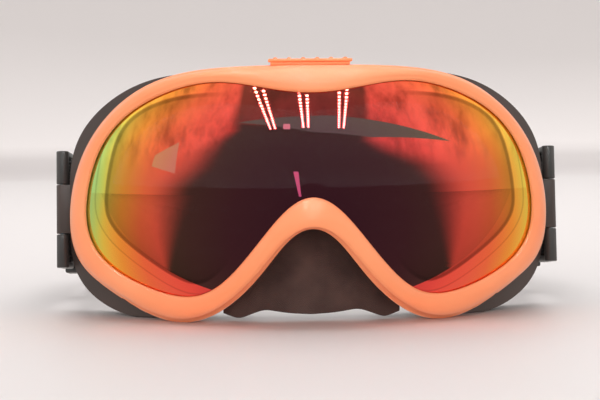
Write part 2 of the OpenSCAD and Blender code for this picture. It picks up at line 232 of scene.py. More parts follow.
def settle(made):
    """Turns what the modifiers make into the object's own plain mesh."""
    depsgraph = bpy.context.evaluated_depsgraph_get()
    mesh = bpy.data.meshes.new_from_object(made.evaluated_get(depsgraph))
    made.modifiers.clear()
    made.data = mesh
    shade(mesh)
    return made


def facing_out(made):
    """Recalculates the normals of a closed shape."""
    shape = bmesh.new()
    shape.from_mesh(made.data)
    bmesh.ops.remove_doubles(shape, verts=shape.verts, dist=1e-6)
    bmesh.ops.recalc_face_normals(shape, faces=shape.faces)
    shape.to_mesh(made.data)
    shape.free()
    return made


def rounded(made, width, segments=3, angle=30):
    """Rounds the edges that turn by more than that angle in degrees."""
    bevel = made.modifiers.new("edges", "BEVEL")
    bevel.width = width * MM
    bevel.segments = segments
    bevel.limit_method = "ANGLE"
    bevel.angle_limit = math.radians(angle)
    bevel.use_clamp_overlap = True
    return settle(made)


def grid_faces(rows, columns):
    """The faces between points that are listed row by row."""
    starts = [r * columns + i for r in range(rows - 1) for i in range(columns - 1)]
    return [(a, a + 1, a + columns + 1, a + columns) for a in starts]


def loft(name, rings, material, whole=True, matrix=None):
    """A solid swept round an outline, through rings that each follow one corner of its cross-section.

    Without whole, the outline is open and its ends are capped."""
    count, points = len(rings[0]), np.vstack(rings)
    starts = range(0, len(points), count)
    faces = []
    for this in starts:
        following = (this + count) % len(points)
        for i in range(count if whole else count - 1):
            j = (i + 1) % count
            faces.append((this + i, this + j, following + j, following + i))
    if not whole:
        faces += [list(starts)[::-1], [start + count - 1 for start in starts]]
    return facing_out(piece(name, points, faces, material, matrix))


HUB = np.array([(0.0, 60.0)])  # where the rings of points on a lens close in to
LENS_RINGS = 70


def fan(name, edge, radius_out, radius_in, materials, rings=LENS_RINGS):
    """A lens: sheets on two spheres, joined at the edge. Slot 0 is the front."""
    count = len(edge)
    flats = [between(HUB, edge, 1 - (k / rings) ** 1.1) for k in range(rings)]
    points, faces, slots = [], [], []
    for side, radius in enumerate((radius_out, radius_in)):
        start = len(points)
        for flat in flats:
            points.extend(on_ball(flat, radius).tolist())
        points.extend(on_ball(HUB, radius).tolist())
        for a in range(start, start + (rings - 1) * count, count):
            for i in range(count):
                j = (i + 1) % count
                faces.append((a + i, a + j, a + count + j, a + count + i))
        last, centre = start + (rings - 1) * count, start + rings * count
        faces.extend((last + i, last + (i + 1) % count, centre) for i in range(count))
        slots.extend([side] * (len(faces) - len(slots)))
    back = rings * count + 1
    faces.extend((i, back + i, back + (i + 1) % count, (i + 1) % count) for i in range(count))
    slots.extend([1] * count)
    made = piece(name, points, faces, materials)
    made.data.polygons.foreach_set("material_index", slots)
    return facing_out(made)


def make_mirror_lens():
    """The outer lens. It stores how far each point is inside the gasket's edge, for the painted shade in
    its coating.
    """
    made = fan("mirror_lens", lens_edge, LENS_R, GASKET_FRONT_R, [MIRROR, TINTED])
    flat = np.array([(v.co.x / MM, v.co.z / MM) for v in made.data.vertices])
    store(made, "inside", depth_inside(bond_line, flat))
    # Near the middle line the gasket's edge is lost against the dark room behind it, so its painted lines
    # there give way to an even painted shade.
    store(made, "middle", 1 - np.clip((np.abs(flat[:, 0]) - 28) / 14, 0, 1))
    return made


def prism(name, flat, low, high, material, matrix=None, edge=0.0, segments=2):
    """A flat outline in X and Y drawn up along Z, with its edges rounded."""
    count = len(flat)
    points = [(x, y, low) for x, y in flat] + [(x, y, high) for x, y in flat]
    faces = [list(range(count))[::-1], list(range(count, 2 * count))]
    faces += [(i, (i + 1) % count, count + (i + 1) % count, count + i) for i in range(count)]
    made = facing_out(piece(name, points, faces, material, matrix))
    return rounded(made, edge, segments) if edge else made


def circle(centre, radius, count=40, start=0.0, end=360.0):
    """Points round a circle, or along the arc between two angles in degrees."""
    turns = np.radians(np.linspace(start, end, count, endpoint=end - start < 360))
    return [(centre[0] + radius * math.cos(a), centre[1] + radius * math.sin(a)) for a in turns]


def stadium(a, b, radius, count=16):
    """The outline round two points, both at that radius."""
    turn = math.degrees(math.atan2(b[1] - a[1], b[0] - a[0]))
    far_end = circle(b, radius, count, turn - 90, turn + 90)
    return far_end + circle(a, radius, count, turn + 90, turn + 270)


def block(low, high):
    """A rectangle between two corners."""
    return [(low[0], low[1]), (high[0], low[1]), (high[0], high[1]), (low[0], high[1])]


def joined(name, parts):
    """One object from several, which keep their own closed shells."""
    shape = bmesh.new()
    for p in parts:
        shape.from_mesh(p.data)
    mesh = bpy.data.meshes.new(name)
    shape.to_mesh(mesh)
    shape.free()
    for m in parts[0].data.materials:
        mesh.materials.append(m)
    shade(mesh)
    for p in parts:
        bpy.data.objects.remove(p)
    return linked(name, mesh)


def store(made, name, values):
    """Keeps one number for each point of a mesh, for its material to read."""
    layer = made.data.attributes.new(name, "FLOAT", "POINT")
    layer.data.foreach_set("value", np.asarray(values, float))


def depth_inside(curve, points):
    """How far each flat point is inside a closed outline, and less than zero outside it."""
    steps = np.roll(curve, -1, axis=0) - curve
    depths = []
    for point in points:
        offsets = point - curve
        share = np.clip((offsets * steps).sum(1) / (steps**2).sum(1), 0, 1)
        gaps = offsets - share[:, None] * steps
        nearest = np.argmin((gaps**2).sum(1))
        turn = steps[nearest][0] * offsets[nearest][1] - steps[nearest][1] * offsets[nearest][0]
        depths.append(math.copysign(math.hypot(*gaps[nearest]), -turn))
    return np.array(depths)


def cut(made, cutter):
    """Takes one shape out of another and removes it."""
    boolean = made.modifiers.new("cut", "BOOLEAN")
    boolean.operation = "DIFFERENCE"
    boolean.solver = "EXACT"
    boolean.object = cutter
    settle(made)
    bpy.data.objects.remove(cutter)
    return made


def add_piece(made, body, slot, *replaced):
    """Attaches a finished piece to what it rides on and hides the CAD nodes it stands for. Its slot, for
    what it is made of, is not used.
    """
    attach(made, body)
    if replaced:
        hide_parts(*replaced)
    return made


# ---- Materials ----


def linear(hex_colour, alpha=1.0):
    """An sRGB hex colour as the linear one that a shader takes."""
    parts = [int(hex_colour[i : i + 2], 16) / 255 for i in (1, 3, 5)]
    return (*(c / 12.92 if c <= 0.04045 else ((c + 0.055) / 1.055) ** 2.4 for c in parts), alpha)


def add(tree, kind, values=(), **settings):
    """Adds a node. `values` are pairs of a socket's name or number and a value or another node's output."""
    made = tree.nodes.new(kind)
    for name, value in settings.items():
        setattr(made, name, value)
    for name, value in values:
        socket = made.inputs[name]
        if isinstance(value, bpy.types.NodeSocket):
            tree.links.new(value, socket)
        else:
            socket.default_value = value
    return made


def out(tree, kind, values=(), output=0, **settings):
    """Adds a node and gives one of its outputs."""
    return add(tree, kind, values, **settings).outputs[output]


def ramp(tree, factor, stops, interpolation="LINEAR"):
    """Colours, or plain numbers, by a factor."""
    made = add(tree, "ShaderNodeValToRGB", [(0, factor)])
    made.color_ramp.interpolation = interpolation
    elements = made.color_ramp.elements
    while len(elements) < len(stops):
        elements.new(0.5)
    for element, (place, colour) in zip(elements, stops):
        element.position = place
        element.color = linear(colour) if isinstance(colour, str) else (colour, colour, colour, 1)
    return made.outputs["Color"]


def maths(tree, operation, *values):
    return out(tree, "ShaderNodeMath", enumerate(values), operation=operation)


def vector_maths(tree, operation, vector, other):
    """Works on a vector with another one, or with a number to scale it by."""
    values = [(0, vector), ("Scale" if operation == "SCALE" else 1, other)]
    return out(tree, "ShaderNodeVectorMath", values, operation=operation)


def attribute(tree, name):
    return out(tree, "ShaderNodeAttribute", output="Fac", attribute_name=name)


def mixed(tree, factor, a, b, **settings):
    """Two colours mixed, through the mix node's colour sockets."""
    values = [("Factor", factor), (6, a), (7, b)]
    return out(tree, "ShaderNodeMix", values, 2, data_type="RGBA", **settings)


def finish_of(name, **shader):
    """A material named for a real finish. Its shader sockets are set by their names, with _ for a space."""
    made = bpy.data.materials.new(name)
    made.use_nodes = True
    tree = made.node_tree
    surface = tree.nodes["Principled BSDF"]
    for socket, value in shader.items():
        surface.inputs[socket.replace("_", " ")].default_value = value
    return made, tree, surface


def in_mm(tree):
    """Object coordinates in millimetres."""
    place = out(tree, "ShaderNodeTexCoord", output="Object")
    return vector_maths(tree, "MULTIPLY", place, (1 / MM,) * 3)


def noise(tree, place, size, detail=3.0, roughness=0.5):
    """Noise whose grain is about that many millimetres."""
    values = [("Vector", place), ("Scale", 1 / size), ("Detail", detail), ("Roughness", roughness)]
    return out(tree, "ShaderNodeTexNoise", values, "Fac")


def bump(tree, surface, height, depth):
    """Relief of that depth in millimetres."""
    made = out(tree, "ShaderNodeBump", [("Height", height), ("Distance", depth * MM)])
    tree.links.new(made, surface.inputs["Normal"])


def uneven_gloss(tree, surface, factor, low, high):
    """Roughness that wanders between two values."""
    made = out(tree, "ShaderNodeMapRange", [("Value", factor), ("To Min", low), ("To Max", high)])
    tree.links.new(made, surface.inputs["Roughness"])


def varied(tree, surface, factor, dark, light, low=0.3, high=0.7):
    """Colour that wanders between two shades."""
    tree.links.new(ramp(tree, factor, [(low, dark), (high, light)]), surface.inputs["Base Color"])


def moulded(name, dark, light, grain, roughness, coat=0.0, coat_roughness=0.1, relief=0.02):
    """Injection-moulded TPU or nylon: faint flow shading, a fine eroded grain and uneven gloss."""
    made, tree, surface = finish_of(name, IOR=1.5, Coat_Weight=coat, Coat_Roughness=coat_roughness)
    place = in_mm(tree)
    varied(tree, surface, noise(tree, place, 28, 2), dark, light)
    uneven_gloss(tree, surface, noise(tree, place, 9, 3), roughness - 0.06, roughness + 0.06)
    bump(tree, surface, noise(tree, place, grain, 2), relief)
    return made


def open_cell_foam(name, dark, light, cell, depth=0.25):
    """Cut polyurethane foam: small open cells of uneven size, matte, with painted shade in the cells'
    hollows that leaves the cell walls a little lighter.
    """
    made, tree, surface = finish_of(name, Roughness=0.95, IOR=1.4)
    place = in_mm(tree)
    cells = out(tree, "ShaderNodeTexVoronoi", [("Vector", place), ("Scale", 1 / cell)], "Distance")
    walls = maths(tree, "MULTIPLY", noise(tree, place, cell * 3, 3), 0.35)
    walls = maths(tree, "MULTIPLY_ADD", cells, 0.9, walls)
    # Painted shade: the cells' hollows are darker than their walls, along with a random tone.
    varied(tree, surface, walls, dark, light, 0.25, 0.85)
    bump(tree, surface, walls, depth)
    return made


def cloth_finish(name, roughness, ior, sheen, sheen_roughness, tint):
    """A matte fabric whose fibres catch light at grazing angles."""
    return finish_of(
        name, Roughness=roughness, IOR=ior, Sheen_Weight=sheen, Sheen_Roughness=sheen_roughness,
        Sheen_Tint=linear(tint),
    )


def brushed_fleece():
    """Polyester microfleece laminated to the foam: short nap that scatters light at grazing angles."""
    made, tree, surface = cloth_finish("polyester microfleece", 1.0, 1.4, 0.5, 0.45, "#8a7f7c")
    place = in_mm(tree)
    nap = maths(tree, "MULTIPLY", noise(tree, place, 5, 2), 0.5)
    nap = maths(tree, "MULTIPLY_ADD", noise(tree, place, 0.7, 4, 0.7), 0.7, nap)
    varied(tree, surface, nap, "#171314", "#3b3334", 0.35, 0.8)
    bump(tree, surface, nap, 0.35)
    return made


def flap_laminate():
    """Thin foam with a knitted nylon face: a fine diamond knit, matte, slightly brown."""
    made, tree, surface = cloth_finish("knit-faced foam", 0.85, 1.45, 0.25, 0.5, "#7c6a64")
    place = in_mm(tree)
    split = add(tree, "ShaderNodeSeparateXYZ", [(0, place)])
    # Wales 0.9 mm apart, drawn about twice as coarse as the real knit so that they show.
    turns = [maths(tree, "MULTIPLY", split.outputs[axis], math.tau / 0.9) for axis in (0, 2)]
    rows = [maths(tree, "SINE", turn) for turn in turns]
    knit = maths(tree, "MULTIPLY_ADD", maths(tree, "MULTIPLY", *rows), 0.5, 0.5)
    varied(tree, surface, noise(tree, place, 12, 3), "#382825", "#503c37")
    bump(tree, surface, knit, 0.1)
    return made


def elastic_webbing():
    """Woven elastic: raised warp ribs along the strap, crossed by fine weft, with a soft nylon sheen and
    painted shade in the weave's hollows.

    It reads the strap's own `along` and `across` attributes, in millimetres."""
    made, tree, surface = cloth_finish("woven elastic webbing", 0.8, 1.5, 0.35, 0.4, "#8d8886")
    along, across = attribute(tree, "along"), attribute(tree, "across")
    rib, weft = 1.3, 0.9  # millimetres from one to the next
    turn = maths(tree, "MULTIPLY", across, math.tau / rib)
    ribs = maths(tree, "MULTIPLY_ADD", maths(tree, "COSINE", turn), 0.5, 0.5)
    column = maths(tree, "FLOOR", maths(tree, "ADD", maths(tree, "DIVIDE", across, rib), 0.5))
    shift = maths(tree, "MULTIPLY", maths(tree, "PINGPONG", column, 1.0), weft / 2)
    beat = maths(tree, "MULTIPLY", maths(tree, "ADD", along, shift), math.tau / weft)
    beats = maths(tree, "MULTIPLY_ADD", maths(tree, "SINE", beat), 0.25, 0.75)
    weave = maths(tree, "MULTIPLY", ribs, beats)
    wear = noise(tree, in_mm(tree), 14, 3)
    # Random wear, with painted shade that darkens the weave's hollows between the raised ribs.
    wear_and_weave_shade = maths(tree, "MULTIPLY_ADD", wear, 0.35, maths(tree, "MULTIPLY", weave, 0.55))
    varied(tree, surface, wear_and_weave_shade, "#121010", "#3a3534", 0.1, 0.8)
    bump(tree, surface, weave, 0.28)
    return made


# Distances in millimetres from the middle of the coating to where it turns to each colour,
# as its interference colour runs from crimson at a square look to green at a glancing one.
COATING = [
    (0, "#b5303f"), (30, "#d23c42"), (45, "#e24c44"), (55, "#ee5c46"), (61, "#ee6840"),
    (65, "#ee7c3c"), (69, "#ea9038"), (72, "#e4a440"), (75, "#d8b848"), (77.5, "#bcc45c"),
    (80, "#a6c46e"), (84, "#98cc8c"), (90, "#94d0a0"),
]
COATING_CENTRE = (2, 0, 33)
# Painted shade in the coating's colour: how bright it looks over the gasket, with dark painted lines at its
# bonded edge and painted shade over the dark eye space, by share of the way from so far outside the
# gasket's inner edge to so far inside it, in millimetres.
PAINTED_SHADE_OUT, PAINTED_SHADE_IN = 6.0, 18.0
PAINTED_SEE_THROUGH_SHADE = [
    (0.0, 1.0), (0.055, 1.0), (0.075, 0.7), (0.095, 0.95), (0.21, 0.95), (0.235, 0.36),
    (0.265, 0.36), (0.29, 0.58), (0.45, 0.68), (0.75, 0.77),
]
# Painted light: the coating's colour is lifted by this gain, clamped at full, so that its reflections look
# brighter than the scene makes them.
PAINTED_LIGHT_GAIN = 1.3


def mirror_coating():
    """Ion-deposited mirror over tinted polycarbonate: sharp, coloured, and partly see-through, with the
    gasket's edge and the eye space behind it painted into its colour as shade.
    """
    made, tree, surface = finish_of("ion mirror coating", Metallic=1.0, Roughness=0.022, Alpha=0.91)
    place = in_mm(tree)
    flat = vector_maths(tree, "SUBTRACT", place, COATING_CENTRE)
    flat = vector_maths(tree, "MULTIPLY", flat, (1, 0, 1))
    reach = out(tree, "ShaderNodeVectorMath", [(0, flat)], "Value", operation="LENGTH")
    # Slow unevenness of the layer, which bends the colour bands by up to 3 mm.
    reach = maths(tree, "SUBTRACT", reach, 3.0)
    reach = maths(tree, "MULTIPLY_ADD", noise(tree, place, 35, 2), 6.0, reach)
    span = COATING[-1][0]
    colour = ramp(tree, maths(tree, "DIVIDE", reach, span), [(d / span, c) for d, c in COATING])
    # Painted shade: dark lines at the gasket's edge and a darker eye space seen through the lens,
    # multiplied into the colour.
    share = maths(tree, "ADD", attribute(tree, "inside"), PAINTED_SHADE_OUT)
    share = maths(tree, "DIVIDE", share, PAINTED_SHADE_OUT + PAINTED_SHADE_IN)
    even = (PAINTED_SEE_THROUGH_SHADE[-1][1],) * 3 + (1,)
    painted_shade = mixed(tree, attribute(tree, "middle"), ramp(tree, share, PAINTED_SEE_THROUGH_SHADE), even)
    painted_shade = vector_maths(tree, "SCALE", painted_shade, PAINTED_LIGHT_GAIN)
    seen = mixed(tree, 1.0, colour, painted_shade, blend_type="MULTIPLY", clamp_result=True)
    tree.links.new(seen, surface.inputs["Base Color"])
    return made


def tinted_polycarbonate():
    """The uncoated back of the outer lens: smoke-brown and clear."""
    made, tree, surface = finish_of("smoke-tinted polycarbonate", Roughness=0.05, IOR=1.3, Alpha=0.82)
    varied(tree, surface, noise(tree, in_mm(tree), 40, 1), "#2a1c18", "#33231d")
    return made


def clear_propionate():
    """The anti-fog inner lens: almost clear, with a very slight haze."""
    made, tree, surface = finish_of("anti-fog cellulose propionate", IOR=1.4, Alpha=0.12)
    place = in_mm(tree)
    varied(tree, surface, noise(tree, place, 30, 1), "#a89c95", "#b9ada6")
    uneven_gloss(tree, surface, noise(tree, place, 12, 3), 0.03, 0.08)
    return made


def silicone():
    """Printed silicone: smooth, slightly translucent grey beads."""
    made, tree, surface = finish_of(
        "printed silicone", Roughness=0.32, IOR=1.43, Subsurface_Weight=0.2, Subsurface_Scale=0.001
    )
    varied(tree, surface, noise(tree, in_mm(tree), 4, 2), "#4b4a4c", "#6a686b")
    return made


def drawn_steel():
    """Stainless wire, drawn and cut: fine lines along its length."""
    made, tree, surface = finish_of("drawn stainless wire", Metallic=1.0)
    lines = noise(tree, vector_maths(tree, "MULTIPLY", in_mm(tree), (1, 1, 0.05)), 0.25, 3)
    varied(tree, surface, lines, "#8d8d90", "#b9b9bc")
    uneven_gloss(tree, surface, lines, 0.22, 0.42)
    return made


ORANGE_TPU = moulded("satin orange TPU", "#ff935e", "#ff9d69", 0.45, 0.45, 0.25, 0.16)
BADGE_TPU = moulded("satin orange TPU, badge", "#fd9560", "#ff9f6a", 0.45, 0.45, 0.1, 0.2)
DARK_TPU = moulded("matte black-brown TPU", "#3d322e", "#493c38", 0.6, 0.5, relief=0.03)
NYLON = moulded("textured black nylon", "#353231", "#423e3c", 0.5, 0.42, relief=0.035)
GASKET = open_cell_foam("closed-cell gasket foam", "#a08f84", "#c6b6aa", 0.6, 0.1)
FILTER = open_cell_foam("reticulated filter foam", "#0f0d0d", "#3a3533", 1.3, 0.5)
FIRM_FOAM = open_cell_foam("firm polyurethane foam", "#3b302e", "#54453f", 0.7, 0.2)
SOFT_FOAM = open_cell_foam("soft polyurethane foam", "#463a37", "#63534c", 0.9, 0.3)
FLEECE = brushed_fleece()
FLAP = flap_laminate()
WEBBING = elastic_webbing()
MIRROR = mirror_coating()
TINTED = tinted_polycarbonate()
CLEAR = clear_propionate()
SILICONE = silicone()
STEEL = drawn_steel()
THREAD = moulded("bonded polyester thread", "#1d1b1b", "#3c3838", 0.3, 0.6)


# ---- Rim, badge and lenses ----

CROWN = 0.7  # how much the rim's face bulges between its edges
BEAK = 2.6  # how far the lower edge of the nose bridge stands out, so that the bridge faces up a little


def vent_cutters(name, places, low, high):
    """Rounded slots through the frames' top or bottom wall."""
    half = (VENT_L - VENT_W) / 2
    slot = stadium((-half, 0), (half, 0), VENT_W / 2)
    parts = []
    for side in (-1, 1):
        for x in places:
            y = face_y(RIM_DEPTH, x) - VENT_REAR_WALL - VENT_W / 2 + APEX_Y
            turn = Matrix.Translation(Vector((side * x, y, 0)) * MM)
            turn = turn @ Matrix.Rotation(side * math.asin(x / FACE_R), 4, "Z")
            parts.append(prism(name, slot, low, high, DARK_TPU, turn))
    return joined(name, parts)


def with_vents(made):
    """Cuts the slots, from 16 mm inside the top and bottom edges to 2 mm outside them."""
    cut(made, vent_cutters("top_slots", TOP_VENTS, RIM_H - 16, RIM_H + 2))
    return cut(made, vent_cutters("bottom_slots", BOTTOM_VENTS, -2, 16))


def make_rim():
    """The orange frame: a rounded lip at the lens, a crowned face, a groove and the wall behind it."""
    face_front = LENS_R + RIM_PROUD
    step_front = face_front - FACE_STEP
    wall, lip = grown(face_outline, -RIM_WALL), grown(opening, 1.3)
    groove = grown(face_outline, -0.3)
    beak = BEAK * np.exp(-((opening[:, 0] / 10) ** 2)) * (opening[:, 1] < EYE_Z + 12)
    rings = [
        on_ball(opening, LENS_R + 0.05),
        on_ball(opening, LENS_R + 0.45),
        on_ball(grown(opening, 0.35), LENS_R + 0.95),
        on_ball(grown(opening, 0.8), face_front - 0.2),
    ]
    for share in (0, 0.15, 0.32, 0.5, 0.68, 0.85):
        bulge = CROWN * (1 - (2 * share - 1) ** 2) + share * beak
        rings.append(on_ball(between(lip, face_outline, share), face_front + bulge))
    rings += [
        on_ball(face_outline, face_front - 0.35 + beak),
        on_ball(face_outline, step_front + 1.2 + 0.5 * beak),
        on_ball(groove, step_front + 0.9),
        on_ball(groove, step_front + 0.3),
        on_ball(grown(rim_outline, -0.25), step_front + 0.1),
        on_ball(rim_outline, step_front - 0.4),
        on_face(rim_outline, RIM_DEPTH),
        on_face(wall, RIM_DEPTH),
        on_ball(wall, LENS_R + 0.05),
    ]
    return rounded(with_vents(loft("rim", rings, ORANGE_TPU)), 0.5, 3, 32)


add_piece(make_rim(), BODY, "rim_orange", "outer_frame")


def tree_with(name, **inputs):
    """A geometry tree with those inputs, given as their kinds, and what its input node gives out."""
    group = bpy.data.node_groups.new(name, "GeometryNodeTree")
    for socket, kind in {"Geometry": "Geometry", **inputs}.items():
        group.interface.new_socket(socket, in_out="INPUT", socket_type=f"NodeSocket{kind}")
    group.interface.new_socket("Geometry", in_out="OUTPUT", socket_type="NodeSocketGeometry")
    return group, add(group, "NodeGroupInput").outputs


def ended(group, geometry, material):
    """Gives the tree's shape its material and puts it out."""
    values = [("Geometry", geometry), ("Material", material)]
    add(group, "NodeGroupOutput", [(0, out(group, "GeometryNodeSetMaterial", values))])
    return group


def instances_on_line():
    """Copies of a shape along a line, by their count, the place of the first and the step."""
    group, given = tree_with(
        "copies along a line", Count="Int", Start="Vector", Step="Vector", Material="Material"
    )
    values = [("Count", given["Count"]), ("Start Location", given["Start"]), ("Offset", given["Step"])]
    line = out(group, "GeometryNodeMeshLine", values)
    values = [("Points", line), ("Instance", given["Geometry"])]
    copies = out(group, "GeometryNodeInstanceOnPoints", values)
    return ended(group, out(group, "GeometryNodeRealizeInstances", [(0, copies)]), given["Material"])


def run_tree(made, group, **inputs):
    """Runs a geometry tree on an object, with its inputs given by name, and keeps the plain mesh."""
    modifier = made.modifiers.new(group.name, "NODES")
    modifier.node_group = group
    for item in group.interface.items_tree:
        if item.in_out == "INPUT" and item.name in inputs:
            modifier[item.identifier] = inputs[item.name]
    made.update_tag()
    return settle(made)


COPIES = instances_on_line()


def make_badge():
    """A stepped plate with half-round ribs across it."""
    low, high = (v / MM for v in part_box("brow_badge"))
    step, layer, rib_r, ribs = 0.8, 1.1, 0.5, 6
    middle, top = low.z + layer, low.z + 2 * layer
    here = Matrix.Identity(4)
    small = block((low.x + step, low.y + step), (high.x - step, high.y - step))
    foot = prism("foot", small, low.z, middle, BADGE_TPU, here, 0.3)
    plate = prism("plate", block(low, high), middle, top, BADGE_TPU, here, 0.4, 3)
    # One rib, half as wide again as a round one, that lies across the line of copies.
    half_l = (high.y - low.y) / 2 - step
    profile = [(x, z / 1.5) for x, z in circle((0, 0), 1.5 * rib_r, 14, 0, 180)]
    lying = Matrix.Rotation(math.pi / 2, 4, "X")
    rib = rounded(prism("ribs", profile, -half_l, half_l, BADGE_TPU, lying), 0.15, 2, 50)
    pitch = (high.x - low.x) / ribs
    start = Vector((low.x + pitch / 2, (low.y + high.y) / 2, top)) * MM
    across = Vector((pitch, 0, 0)) * MM
    run_tree(rib, COPIES, Count=ribs, Start=start, Step=across, Material=BADGE_TPU)
    return joined("badge", [foot, plate, rib])


add_piece(make_badge(), BODY, "badge_orange", "brow_badge")

lens_edge = grown(opening, LENS_LAP)
add_piece(make_mirror_lens(), BODY, "lens_mirror", "outer_lens")
inner_edge = grown(opening, LENS_LAP - 0.2)
fog_lens = fan("fog_lens", inner_edge, INNER_FRONT_R, LEDGE_FRONT_R, [CLEAR, CLEAR])
add_piece(fog_lens, BODY, "lens_clear", "inner_lens")


def make_gasket():
    """The foam between the lenses, as wide as the bond line leaves it, between 3 and 9 mm."""
    inside = grown(opening, -np.clip(np.abs(depth_inside(bond_line, opening)), 3, 9))
    rings = [
        on_ball(inner_edge, GASKET_FRONT_R - 0.05),
        on_ball(inside, GASKET_FRONT_R - 0.05),
        on_ball(grown(inside, 0.25), (GASKET_FRONT_R + INNER_FRONT_R) / 2),
        on_ball(inside, INNER_FRONT_R + 0.05),
        on_ball(inner_edge, INNER_FRONT_R + 0.05),
    ]
    return loft("gasket", rings, GASKET)


add_piece(make_gasket(), BODY, "gasket_foam", "lens_gasket")


# ---- Inner frame ----

joints = {j["name"]: j for j in frame["joints"]}
hinge = joints["anchor_left_hinge"]
TILT = math.atan2(hinge["axis"][1], hinge["axis"][2])
PIN_X = abs(hinge["pos_m"][0]) / MM
BAR_X = PIN_X - BAR_INSET
MAIN_X = BAR_X + FOLD_R
TAIL_X = MAIN_X - STRAP_T - 0.1
tilted = Matrix.Rotation(-TILT, 4, "X")
bar_centre = Vector((0, *hinge["pos_m"][1:])) + tilted @ Vector((0, PIN_TO_BAR * MM, 0))
STRAP_FRAME = Matrix.Translation(bar_centre) @ tilted


def mirrored(flat, side):
    """An outline drawn for the right side, on that side."""
    return [(side * x, y) for x, y in flat]


def make_rear_frame():
    """The dark frame: a wall inside the rim, the lenses' ledge and the flange for the foam."""
    wall_out = grown(face_outline, -RIM_WALL - 0.1)
    wall_in = grown(opening, LENS_LAP + 0.1)
    ledge_in = grown(opening, -GASKET_SHOW)
    flange_in = grown(eye_outline, 1)
    ledge_front, ledge_back = LEDGE_FRONT_R - 0.05, LEDGE_FRONT_R - LEDGE_T
    rings = [
        on_ball(wall_out, LENS_R - 0.05),
        on_face(wall_out, FLANGE_FRONT),
        on_face(flange_outline, FLANGE_FRONT),
        on_face(flange_outline, FLANGE_BACK),
        on_face(flange_in, FLANGE_BACK),
        on_face(flange_in, FLANGE_FRONT),
        on_face(wall_in, FLANGE_FRONT),
        on_ball(wall_in, ledge_back),
        on_ball(ledge_in, ledge_back),
        on_ball(ledge_in, ledge_front),
        on_ball(wall_in, ledge_front),
        on_ball(wall_in, LENS_R - 0.05),
    ]
    return rounded(with_vents(loft("inner_frame", rings, DARK_TPU)), 0.35, 2, 35)


ROOT_DEPTH = 1.4  # how far the knuckle's web runs into the flange


def make_knuckle(side):
    """The frame's hinge knuckle, with its web to the flange and a bore for the pin."""
    centre = (PIN_X, -PIN_TO_BAR)
    web = 2 * KNUCKLE_R - 0.6
    root = max(x for x, _ in FLANGE) * RIM_W / DRAWN_W - ROOT_DEPTH
    shape = circle(centre, KNUCKLE_R, 30, -80, 80)
    shape += [(root, centre[1] + web / 2), (root, centre[1] - web / 2)]
    made = prism("knuckle", mirrored(shape, side), -EAR_H / 2, EAR_H / 2, DARK_TPU, STRAP_FRAME, 0.3)
    hole = mirrored(circle(centre, PIN_R + 0.05), side)
    return cut(made, prism("bore", hole, -EAR_H, EAR_H, DARK_TPU, STRAP_FRAME))


rear = joined("inner_frame", [make_rear_frame(), make_knuckle(-1), make_knuckle(1)])
add_piece(rear, BODY, "frame_dark", "rear_frame")


def vent_foam(name, keep):
    """Filter foam behind the slots, over the stretch of the outline that `keep` picks."""
    outside, inside = grown(opening, LENS_LAP - 0.05), grown(opening, LENS_LAP - 2)
    picked = np.where(keep(outside))[0]
    if np.any(np.diff(picked) > 1):  # the stretch crosses the outline's start
        picked = np.roll(picked, -1 - np.argmax(np.diff(picked)))
    front, back = LEDGE_FRONT_R - LEDGE_T - 0.05, FLANGE_FRONT - 0.05
    rings = [
        on_ball(outside, front), on_face(outside, back), on_face(inside, back), on_ball(inside, front),
    ]
    return loft(name, [ring[picked] for ring in rings], FILTER, whole=False)


def over_brow(flat):
    return (np.abs(flat[:, 0]) < 50) & (flat[:, 1] > EYE_Z + 20)


def under_cheek(flat, side):
    return (side * flat[:, 0] > 48) & (side * flat[:, 0] < 72) & (flat[:, 1] < EYE_Z - 20)


top_foam = vent_foam("vent_foam_top_filter", over_brow)
add_piece(top_foam, BODY, "vent_foam", "vent_foam_top")
cheeks = [vent_foam("filter", lambda flat, s=s: under_cheek(flat, s)) for s in (-1, 1)]
bottom_foam = joined("vent_foam_bottom_filter", cheeks)
add_piece(bottom_foam, BODY, "vent_foam", "vent_foam_bottom")


# ---- Nose flap and face foam ----


def resampled(points, count):
    """A polyline's points at even steps along it."""
    points = np.array(points, float)
    along = np.concatenate([[0], np.cumsum(np.linalg.norm(np.diff(points, axis=0), axis=1))])
    even = np.linspace(0, along[-1], count)
    return np.column_stack([np.interp(even, along, points[:, k]) for k in range(points.shape[1])])


def make_flap():
    """A soft sheet from the nose arch down to its free hem, which ripples a little."""
    arch = grown(face_outline, -RIM_WALL + 0.05)
    arch = arch[(np.abs(arch[:, 0]) < HEM[0][0]) & (arch[:, 1] < EYE_Z - 5)]
    half = np.array(HEM, float)
    hem = np.vstack([half, (half * [-1, 1])[-2::-1]])
    columns, rows, thick = 72, 26, 2.2
    top, bottom = resampled(arch, columns), resampled(hem, columns)
    for k in (0, 1):  # the hem's corners are soft
        bottom[2:-2, k] = np.convolve(bottom[:, k], np.ones(5) / 5, "valid")
    points = []
    for share in np.arange(rows) / (rows - 1):
        flat = between(top, bottom, share)
        ripple = 0.25 * np.sin(flat[:, 0] / 4.6) * share**2
        y = face_y(RIM_DEPTH + 0.35 + thick / 2, flat[:, 0]) + ripple
        points.extend(np.column_stack([flat[:, 0], y, flat[:, 1]]).tolist())
    made = piece("nose_flap_sheet", points, grid_faces(rows, columns), FLAP)
    wall = made.modifiers.new("thickness", "SOLIDIFY")
    wall.thickness = thick * MM
    wall.offset = 0
    return rounded(facing_out(settle(made)), 0.7, 3, 50)


add_piece(make_flap(), BODY, "flap_fabric", "nose_flap")


